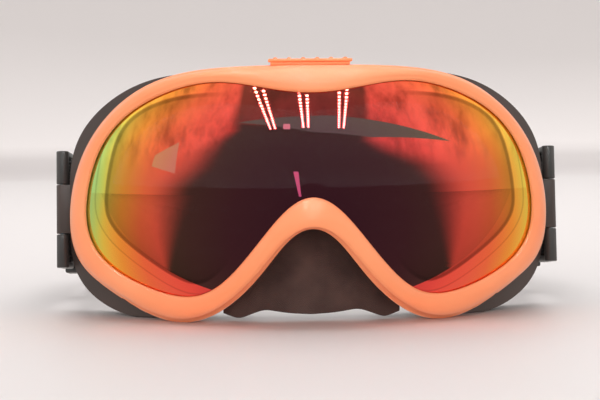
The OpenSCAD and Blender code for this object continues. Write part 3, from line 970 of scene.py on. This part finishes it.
def foam_ring(name, front, back, material, inset=0.0, bulge=0.0, edge=0.6):
    """A die-cut foam ring whose cut sides bulge slightly between the glued faces."""
    outside, inside = grown(flange_outline, -FOAM_INSET - inset), grown(eye_outline, inset)
    outside[:, 1] = np.maximum(outside[:, 1], 0.15)
    shares, swells = (0, 0.25, 0.5, 0.75, 1), (0, 0.8 * bulge, bulge, 0.8 * bulge, 0)
    sides = list(zip(shares, swells))
    rings = [on_face(grown(outside, d), between(front, back, s)) for s, d in sides]
    rings += [on_face(between(outside, inside, share), back + 0.25) for share in (0.3, 0.7)]
    rings += [on_face(grown(inside, -d), between(front, back, s)) for s, d in sides[::-1]]
    return rounded(loft(name, rings, material), edge, 3, 38)


firm = foam_ring("firm_foam_ring", FLANGE_BACK + 0.05, FOAM_MID_FRONT - 0.3, FIRM_FOAM, 0.0, 0.15, 0.4)
add_piece(firm, BODY, "foam_firm", "face_foam_base")
soft = foam_ring("soft_foam_ring", FOAM_MID_FRONT + 0.05, FLEECE_FRONT - 0.3, SOFT_FOAM, 0.1, 0.5, 0.9)
add_piece(soft, BODY, "foam_soft", "face_foam_mid")
fleece = foam_ring("fleece_ring", FLEECE_FRONT + 0.05, FACE_BACK, FLEECE, 0.3, 0.2, 0.7)
add_piece(fleece, BODY, "fleece", "face_fleece")


# ---- Strap ----


def strap_path():
    """The right half of the strap seen along its width: its loose end, the fold and the way back."""
    corner_x = MAIN_X - CORNER_R
    back_v = STRAP_RUN - math.sqrt((BACK_R - CORNER_R) ** 2 - corner_x**2)
    turn = 90 - math.degrees(math.asin(corner_x / (BACK_R - CORNER_R)))
    path = [(TAIL_X, STRAP_RUN - 3 * k) for k in range(21)]
    for share in np.arange(1, 8) / 8:  # over the last 10 mm it eases across to the fold
        ease = (1 - math.cos(math.pi * share)) / 2
        path.append((between(TAIL_X, BAR_X - FOLD_R, ease), 10 * (1 - share)))
    path += circle((BAR_X, 0), FOLD_R, 17, 180, 359.9)
    path += [(MAIN_X, 3.0 * k) for k in range(int(STRAP_RUN // 3))]
    path += circle((corner_x, STRAP_RUN), CORNER_R, 22, 0, turn)
    path += circle((0, back_v), BACK_R, 22, turn, 90)[1:]
    return path, back_v, turn


STRAP_PATH, BACK_V, BACK_TURN = strap_path()


def marked(group, geometry, name, length):
    """Stores a length in millimetres on the points."""
    in_mm_here = maths(group, "MULTIPLY", length, 1 / MM)
    values = [("Geometry", geometry), ("Name", name), ("Value", in_mm_here)]
    return out(group, "GeometryNodeStoreNamedAttribute", values)


def swept(group, path, profile):
    values = [("Curve", path), ("Profile Curve", profile), ("Fill Caps", True)]
    return out(group, "GeometryNodeCurveToMesh", values)


def sweep_tree():
    """Sweeps a flat band with soft edges along a line and marks how far along and across it is."""
    group, given = tree_with("woven band", Width="Float", Thickness="Float", Material="Material")
    curve = out(group, "GeometryNodeMeshToCurve", [(0, given["Geometry"])])
    level = out(group, "GeometryNodeSetCurveNormal", [(0, curve)], mode="Z_UP")
    length = out(group, "GeometryNodeSplineParameter", output="Length")
    values = [("Width", given["Thickness"]), ("Height", given["Width"])]
    section = out(group, "GeometryNodeCurvePrimitiveQuadrilateral", values)
    values = [("Curve", section), ("Radius", 0.55 * MM), ("Count", 3)]
    soft = out(group, "GeometryNodeFilletCurve", values, mode="POLY")
    finer = out(group, "GeometryNodeSubdivideCurve", [("Curve", soft), ("Cuts", 3)])
    height = out(group, "ShaderNodeSeparateXYZ", [(0, out(group, "GeometryNodeInputPosition"))], "Y")
    path, profile = marked(group, level, "along", length), marked(group, finer, "across", height)
    return ended(group, swept(group, path, profile), given["Material"])


def line_of(name, points):
    """A loose line of edges in metres, for a tree to sweep or to place things on."""
    mesh = bpy.data.meshes.new(name)
    steps = [(i, i + 1) for i in range(len(points) - 1)]
    mesh.from_pydata([Vector(p) * MM for p in points], steps, [])
    return linked(name, mesh)


SWEEP = sweep_tree()


def make_strap_half(name, side):
    made = line_of(name, [(side * x, y, 0) for x, y in STRAP_PATH])
    made = run_tree(made, SWEEP, Width=STRAP_W * MM, Thickness=STRAP_T * MM, Material=WEBBING)
    made.data.transform(STRAP_FRAME)
    return facing_out(made)


for name, side in SIDES.items():
    strap = make_strap_half(f"strap_{name}_half", side)
    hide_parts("strap")
    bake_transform(strap)


def stitch_tree():
    """Stitches along a line: one short thread at each step, lying along the line."""
    kinds = dict.fromkeys(("Pitch", "Stitch", "Thread"), "Float")
    group, given = tree_with("row of stitches", **kinds, Material="Material")
    curve = out(group, "GeometryNodeMeshToCurve", [(0, given["Geometry"])])
    values = [("Curve", curve), ("Length", given["Pitch"])]
    places = add(group, "GeometryNodeCurveToPoints", values, mode="LENGTH").outputs
    half = maths(group, "MULTIPLY", given["Stitch"], 0.5)
    end = out(group, "ShaderNodeCombineXYZ", [("Z", half)])
    values = [("Start", vector_maths(group, "SCALE", end, -1.0)), ("End", end)]
    thread = out(group, "GeometryNodeCurvePrimitiveLine", values)
    values = [("Resolution", 8), ("Radius", given["Thread"])]
    rod = swept(group, thread, out(group, "GeometryNodeCurvePrimitiveCircle", values))
    values = [("Points", places["Points"]), ("Instance", rod), ("Rotation", places["Rotation"])]
    copies = out(group, "GeometryNodeInstanceOnPoints", values)
    return ended(group, out(group, "GeometryNodeRealizeInstances", [(0, copies)]), given["Material"])


STITCHES = stitch_tree()


def make_stitching(name, side):
    """Two rows across the strap that hold its loose end, on both faces."""
    sizes = {"Pitch": 2.4 * MM, "Stitch": 1.8 * MM, "Thread": 0.22 * MM}
    half = STRAP_W / 2 - 2
    rows = []
    for along in (STRAP_RUN - 0.9, STRAP_RUN - 2.3):
        for x in (MAIN_X + STRAP_T / 2, TAIL_X - STRAP_T / 2):
            row = line_of("row", [(side * x, along, w) for w in np.linspace(-half, half, 18)])
            rows.append(run_tree(row, STITCHES, **sizes, Material=THREAD))
    made = joined(name, rows)
    made.data.transform(STRAP_FRAME)
    return facing_out(made)


for name, side in SIDES.items():
    add_piece(make_stitching(f"strap_{name}_stitching", side), BODY, "strap_webbing")


def make_grip():
    """Silicone beads on the inside of the strap's back: low rounded ridges that wave a little."""
    half_w, height, apart, sway = 1.3, 0.42, 10, 1.1
    angles = np.radians(np.linspace(BACK_TURN + 1, 179 - BACK_TURN, 90))
    wave = sway * np.sin(np.linspace(0, 16 * math.pi, len(angles)))
    parts = []
    for row in (-1, 0, 1):
        rings = []
        for lean in np.linspace(0, math.pi, 9):
            across = row * apart + wave + half_w * math.cos(lean)
            radius = BACK_R - STRAP_T / 2 - 0.01 - height * math.sin(lean)
            x, along = radius * np.cos(angles), BACK_V + radius * np.sin(angles)
            rings.append(np.column_stack([x, along, across]))
        parts.append(loft("bead", rings, SILICONE, whole=False, matrix=STRAP_FRAME))
    return joined("grip_beads", parts)


add_piece(make_grip(), BODY, "grip_silicone", "strap_grip")


# ---- Anchors, pins and adjusters ----

ARM_Z = STRAP_W / 2 + 0.3  # the inner face of an arm, from the strap's middle
ANCHOR_H = 2 * (ARM_Z + ARM_T)


def upright(name, flat, low, high, edge=0.0, segments=2, material=NYLON):
    """A prism that stands in the strap's frame, between two heights given in either order."""
    low, high = sorted((low, high))
    return prism(name, flat, low, high, material, STRAP_FRAME, edge, segments)


def make_anchor(name, side):
    """A C-shaped outrigger: knuckles on the pin, two arms and the bar the strap folds round."""
    pin, bar = (side * PIN_X, -PIN_TO_BAR), (side * BAR_X, 0)
    root = (side * (PIN_X - 0.1), 2.6 - PIN_TO_BAR)
    parts = []
    for end in (-1, 1):
        ear_top, arm_foot, arm_top = end * (EAR_H / 2 + 0.3), end * ARM_Z, end * (ARM_Z + ARM_T)
        parts += [
            upright("knuckle", circle(pin, KNUCKLE_R), ear_top, arm_top, 0.3),
            upright("arm", stadium(pin, bar, ARM_W / 2), arm_foot, arm_top, 0.5, 3),
            upright("gusset", stadium(pin, root, 1.2), end * (ARM_Z - 3.2), arm_foot, 0.3),
        ]
    parts.append(upright("bar", circle(bar, BAR_R), 0.5 - ANCHOR_H / 2, ANCHOR_H / 2 - 0.5))
    return joined(f"outrigger_{name}", parts)


def make_pin(name, side):
    """A steel pin that stands out 0.15 mm at both ends."""
    flat, half = circle((side * PIN_X, -PIN_TO_BAR), PIN_R), ANCHOR_H / 2 + 0.15
    return upright(f"hinge_pin_{name}", flat, -half, half, 0.25, 3, STEEL)


def make_adjuster(name, side):
    """A ladder buckle: an outer bar and two inner ones between rails that pass the strap's edges."""
    bar_t, rail_w, gap = 1.7, 2.4, 0.15
    low_x, high_x = TAIL_X - STRAP_T / 2 - gap - bar_t, MAIN_X + STRAP_T / 2 + gap + bar_t
    half_l, half_h = ADJUSTER_L / 2, STRAP_W / 2 + 0.3 + rail_w
    parts = []

    def bar(across, along, low, high, edge):
        corners = zip(across, (ADJUSTER_AT + v for v in along))
        parts.append(upright("bar", mirrored(block(*corners), side), low, high, edge, 3))

    for end in (-1, 1):
        bar((low_x, high_x), (-half_l, half_l), end * half_h, end * (half_h - rail_w), 0.7)
        inner = sorted((end * half_l, end * (half_l - 3.2)))
        bar((low_x, low_x + bar_t), inner, 0.4 - half_h, half_h - 0.4, 0.6)
    bar((high_x - bar_t, high_x), (-1.6, 1.6), 0.4 - half_h, half_h - 0.4, 0.6)
    for middle in (-0.95, 0, 0.95):  # grip ridges on the outer bar
        ridge = (middle - 0.22, middle + 0.22)
        bar((high_x - 0.3, high_x + 0.35), ridge, 5 - half_h, half_h - 5, 0.15)
    return joined(f"buckle_{name}", parts)


for name, side in SIDES.items():
    add_piece(make_anchor(name, side), f"anchor_{name}", "anchor_plastic", f"anchor_{name}")
    add_piece(make_pin(name, side), BODY, "pin_steel", f"anchor_pin_{name}")
    add_piece(make_adjuster(name, side), f"adjuster_{name}", "adjuster_plastic", f"adjuster_{name}")


# ---- Studio: floor, lights and camera ----


def glow(name, colour, strength):
    """A plain light-giving material. Its colour is an sRGB hex or three linear numbers."""
    made = bpy.data.materials.new(name)
    made.use_nodes = True
    tree = made.node_tree
    tree.nodes.clear()
    colour = linear(colour) if isinstance(colour, str) else (*colour, 1)
    light = add(tree, "ShaderNodeEmission", [("Color", colour), ("Strength", strength)])
    output = add(tree, "ShaderNodeOutputMaterial", [("Surface", light.outputs[0])])
    return made, tree, light, output


def staged(name, points, faces, material, seen=True):
    """A piece of the studio, in metres. One that isn't seen shows only in reflections."""
    mesh = bpy.data.meshes.new(name)
    mesh.from_pydata(points, [], faces)
    mesh.materials.append(material)
    made = linked(name, mesh)
    if not seen:
        made.visible_camera = made.visible_diffuse = False
        made.visible_shadow = made.visible_transmission = False
    return made


# Share of the wall's lower 2 m, and how strongly it glows there, as painted light that stands in for a wash
# of light.
PAINTED_WALL_GLOW = [(0.0, 0.0), (0.012, 0.28), (0.1, 0.26), (1.0, 0.12)]


def backdrop():
    """Matte pale acrylic, its wall given a painted glow, as if washed by light, so that it meets the floor
    without a line.
    """
    made, tree, surface = finish_of("matte pale acrylic", Roughness=0.55, Specular_IOR_Level=0.25)
    surface.inputs["Base Color"].default_value = linear("#d8d3d2")
    height = out(tree, "ShaderNodeSeparateXYZ", [(0, in_mm(tree))], "Z")
    painted_wall_glow = ramp(tree, maths(tree, "DIVIDE", height, 2000), PAINTED_WALL_GLOW, "EASE")
    tree.links.new(painted_wall_glow, surface.inputs["Emission Strength"])
    surface.inputs["Emission Color"].default_value = linear("#fbf6f3")
    return made


def make_sweep():
    """A round studio: a floor disc that curves up into a wall, the same from every side."""
    flat_r, bend_r, wall_top, count = 1.4, 1.6, 3.2, 96
    bends = np.radians(np.arange(6, 91, 6))
    profile = [(r, 0.0) for r in (0.0, 0.3, 0.6, 1.0, flat_r)]
    profile += [(flat_r + bend_r * math.sin(a), bend_r - bend_r * math.cos(a)) for a in bends]
    profile += [(flat_r + bend_r, wall_top)]
    turns = np.arange(count) / count * math.tau
    points = [(r * math.cos(a), r * math.sin(a), z) for r, z in profile for a in turns]
    faces = []
    for start in range(0, (len(profile) - 1) * count, count):
        for i in range(count):
            a, b = start + i, start + (i + 1) % count
            faces.append((a, b, b + count, a + count))
    made = staged("studio_sweep", points, faces, backdrop())
    made.data.polygons.foreach_set("use_smooth", [True] * len(made.data.polygons))
    return made


make_sweep()


def area_light(name, place, target, size, power, colour="#ffffff"):
    """A rectangular lamp of that power in watts, which shows in no reflection."""
    data = bpy.data.lights.new(name, "AREA")
    data.shape = "RECTANGLE"
    data.size, data.size_y = size
    data.energy = power
    data.color = linear(colour)[:3]
    made = linked(name, data)
    made.location = place
    made.rotation_euler = (Vector(target) - Vector(place)).to_track_quat("-Z", "Y").to_euler()
    made.visible_camera = made.visible_glossy = False


area_light("top_light", (0, 0.3, 1.25), (0, 0, 0), (1.4, 1.2), 13.2)
area_light("front_fill", (-0.15, -1.5, 0.42), (0, 0, 0.04), (1.2, 0.5), 11)
area_light("back_fill", (0.3, 1.5, 1.0), (0, 0, 0.04), (1.2, 0.8), 6)
for x in (-0.045, 0.045):  # light that the orange rim throws on the floor in front of each lobe
    area_light("rim_bounce", (x, -0.101, 0.012), (x, -0.108, 0), (0.06, 0.02), 0.0013, "#ff6038")

world = bpy.data.worlds.new("studio")
bpy.context.scene.world = world
world.use_nodes = True
world.node_tree.nodes["Background"].inputs["Color"].default_value = linear("#efebe8")
world.node_tree.nodes["Background"].inputs["Strength"].default_value = 0.5


LENS_Z = 0.044  # metres from the floor to the lens's middle


def look(azimuth, elevation, distance):
    """A point that far from the lens in a direction, in degrees from straight ahead of it."""
    a, e = math.radians(azimuth), math.radians(elevation)
    level = distance * math.cos(e)
    return (level * math.sin(a), -level * math.cos(a), LENS_Z + distance * math.sin(e))


def card(name, corners, colour, distance=0.8):
    """A flat glowing card that shows only in reflections. Its corners are directions from the lens."""
    points = [look(a, e, distance) for a, e in corners]
    staged(name, points, [tuple(range(len(corners)))], glow(name, colour, 1.0)[0], seen=False)


def smooth_step(low, high, value):
    """0 below low and 1 above high, with a soft way between."""
    t = np.clip((value - low) / (high - low), 0, 1)
    return t * t * (3 - 2 * t)


# The unlit room between the tent's walls: its edges and their softness, in degrees, by elevation.
ROOM_ELEVATIONS = (-5, 0, 7, 13, 17, 21, 38, 60)
ROOM_LEFT = (-55, -53, -45, -40, -35, -28, -28, -20)
ROOM_RIGHT = (55, 54, 48, 33, 25, 24, 26, 20)
ROOM_SOFT = (10, 10, 11, 9, 6, 3, 2, 2)


def tent_light(azimuth, elevation):
    """How bright the tent is in a direction, between 0 in the room and 1 on its walls."""
    edges = (ROOM_LEFT, ROOM_RIGHT, ROOM_SOFT)
    left, right, soft = (np.interp(elevation, ROOM_ELEVATIONS, v) for v in edges)
    left_wall = 1 - smooth_step(left - soft, left + soft, azimuth)
    right_wall = smooth_step(right - soft, right + soft, azimuth)
    # The walls are dimmer low down, and brightest at the sides, where the lamps stand.
    strength = 0.8 + 0.2 * smooth_step(0, 15, elevation)
    strength = strength + 0.05 * smooth_step(62, 82, np.abs(azimuth))
    ceiling = 0.2 * smooth_step(22.8, 24, elevation)
    return np.maximum((left_wall + right_wall) * strength, ceiling)


# The little light that the room sends back, with the coating's colour taken out.
ROOM_TONE = (0.055, 0.22, 0.22)
TENT_GLOW = 1.25


def make_tent():
    """The tent's lit walls and the dark opening in front, as one dome seen only in reflections."""
    azimuths, elevations = np.linspace(-180, 180, 361), np.linspace(-4, 80, 85)
    grid_a, grid_e = (g.ravel() for g in np.meshgrid(azimuths, elevations))
    points = [look(a, e, 1.15) for a, e in zip(grid_a, grid_e)]
    made, tree, light, _ = glow("lit tent cloth", "#ffffff", 1.0)
    folds = vector_maths(tree, "MULTIPLY", in_mm(tree), (1, 1, 0.45))
    creases = maths(tree, "SUBTRACT", noise(tree, folds, 160, 5, 0.62), 0.5)
    creases = maths(tree, "MULTIPLY_ADD", creases, attribute(tree, "creased"), 0.5)
    tone = ramp(tree, creases, [(0.34, "#b3aeaa"), (0.5, "#ebe8e6"), (0.62, "#ffffff")])
    lit = attribute(tree, "lit")
    tree.links.new(mixed(tree, lit, (*ROOM_TONE, 1), tone), light.inputs["Color"])
    strength = maths(tree, "MULTIPLY", maths(tree, "MAXIMUM", lit, 1.0), TENT_GLOW)
    tree.links.new(strength, light.inputs["Strength"])
    faces = grid_faces(len(elevations), len(azimuths))
    tent = staged("tent", points, faces, made, seen=False)
    store(tent, "lit", tent_light(grid_a, grid_e))
    store(tent, "creased", smooth_step(2, 16, grid_e))


def floor_cover(name, xs, ys, height, colour, strength, share):
    """A glowing sheet over the floor that hides it by a share at each point.

    It is seen only in reflections, and only from above."""
    grid_x, grid_y = (g.ravel() for g in np.meshgrid(xs, ys))
    made, tree, light, output = glow(name, colour, strength)
    above = maths(tree, "SUBTRACT", 1.0, out(tree, "ShaderNodeNewGeometry", output="Backfacing"))
    cover = maths(tree, "MULTIPLY", attribute(tree, "cover"), above)
    clear = out(tree, "ShaderNodeBsdfTransparent")
    seen = out(tree, "ShaderNodeMixShader", [(0, cover), (1, clear), (2, light.outputs[0])])
    tree.links.new(seen, output.inputs["Surface"])
    points = [(x, y, height) for x, y in zip(grid_x, grid_y)]
    upwards = ys[-1] > ys[0]
    faces = [f if upwards else f[::-1] for f in grid_faces(len(ys), len(xs))]
    floor = staged(name, points, faces, made, seen=False)
    store(floor, "cover", share(grid_x, grid_y))


def unlit_share(x, y):
    """The dark opening as a shadow on the floor: a wedge that widens away from the lens."""
    left = np.degrees(np.arctan2(x + 0.075, -(y + 0.102)))
    right = np.degrees(np.arctan2(x - 0.073, -(y + 0.102)))
    return np.maximum(smooth_step(-72, -42, left) * (1 - smooth_step(45, 73, right)), 0.18)


def lit_share(x, y):
    return smooth_step(-0.27, -0.09, y)


def make_floor_covers():
    """The unlit floor in front of the tent, and a painted bright floor beside and behind the lens, which
    glows in its reflections where the lens's own shadow falls on the real floor.
    """
    shares = np.linspace(-1, 1, 301)
    xs, ys = 1.6 * shares * np.abs(shares) ** 1.2, -0.106 - 1.5 * np.linspace(0, 1, 120) ** 2.2
    floor_cover("unlit_floor", xs, ys, 0.0005, ROOM_TONE, TENT_GLOW, unlit_share)
    # Painted light: a glowing sheet that brightens the shaded floor in the lens's reflections.
    ys = np.append(np.linspace(-0.3, 0.05, 36), 1.1)
    floor_cover("lit_floor", (-1.15, 1.15), ys, 0.0004, "#fff4ec", 0.82, lit_share)


def make_led_strips():
    """Three double rows of round lamps under the tent's ceiling, running away from the goggles."""
    corners = [(0.0045 * math.cos(a), 0.0052 * math.sin(a)) for a in np.arange(12) / 12 * math.tau]
    lamps = []
    for near_x, far_x in ((-0.133, -0.156), (-0.0096, -0.005), (0.109, 0.159)):
        for row in (-0.011, 0.011):
            for share in np.linspace(-1.2, 0.86, 29):
                lamps.append((between(near_x, far_x, share) + row, -0.43 - 0.27 * share))
    points = [(x + dx, y + dy, 0.315) for x, y in lamps for dx, dy in corners]
    faces = [tuple(range(12 * k, 12 * k + 12)) for k in range(len(lamps))]
    staged("led_strips", points, faces, glow("led lamps", "#ffffff", 45.0)[0], seen=False)


make_tent()
make_floor_covers()
make_led_strips()
# The coating tints what it reflects, so these colours have its own colour taken out.
EDGE = [(-27, 23.5), (-1.5, 26.3), (10, 26.3), (25, 24), (56, 14), (24, 17.8), (2, 20.5)]
card("ceiling_edge", EDGE, (0.16, 1.1, 1.1))
card("paper_flap", [(-49, 15.5), (-58.5, 10.5), (-59.5, 7), (-49.5, 5)], (0.72, 1.7, 1.9))
card("status_lamp", [(-5.2, 6.3), (-3.2, -2.5), (-2.4, -2.5), (-3.4, 6.3)], (1.1, 2.2, 3.6), 0.7)
card("small_lamp", [(-9, 23.3), (-6.4, 23.3), (-6.4, 21.4), (-9, 21.4)], (1.0, 3.0, 4.0), 0.7)

CAMERA_AZIMUTH, CAMERA_ELEVATION, CAMERA_ROLL, CAMERA_DISTANCE = -2.1, 3.0, -0.6, 0.620
SENSOR_WIDTH, VIEW_WIDTH = 36, 0.2094  # the view's width is at the target, in metres
target = Vector((0, (22 + APEX_Y) * MM, LENS_Z))
away = Vector(look(CAMERA_AZIMUTH, CAMERA_ELEVATION, 1.0)) - Vector((0, 0, LENS_Z))
camera_data = bpy.data.cameras.new("camera")
camera_data.sensor_width = SENSOR_WIDTH
camera_data.lens = SENSOR_WIDTH * CAMERA_DISTANCE / VIEW_WIDTH
camera_data.shift_x, camera_data.shift_y = -11 / 600, -4 / 600
camera_data.clip_start = 0.01
camera = linked("camera", camera_data)
camera.location = target + away * CAMERA_DISTANCE
roll = Matrix.Rotation(math.radians(CAMERA_ROLL), 4, "Z")
turn = (-away).to_track_quat("-Z", "Y").to_matrix().to_4x4() @ roll
camera.rotation_euler = turn.to_euler()
bpy.context.scene.camera = camera
bpy.context.scene.view_settings.view_transform = "Standard"

bpy.context.view_layer.update()
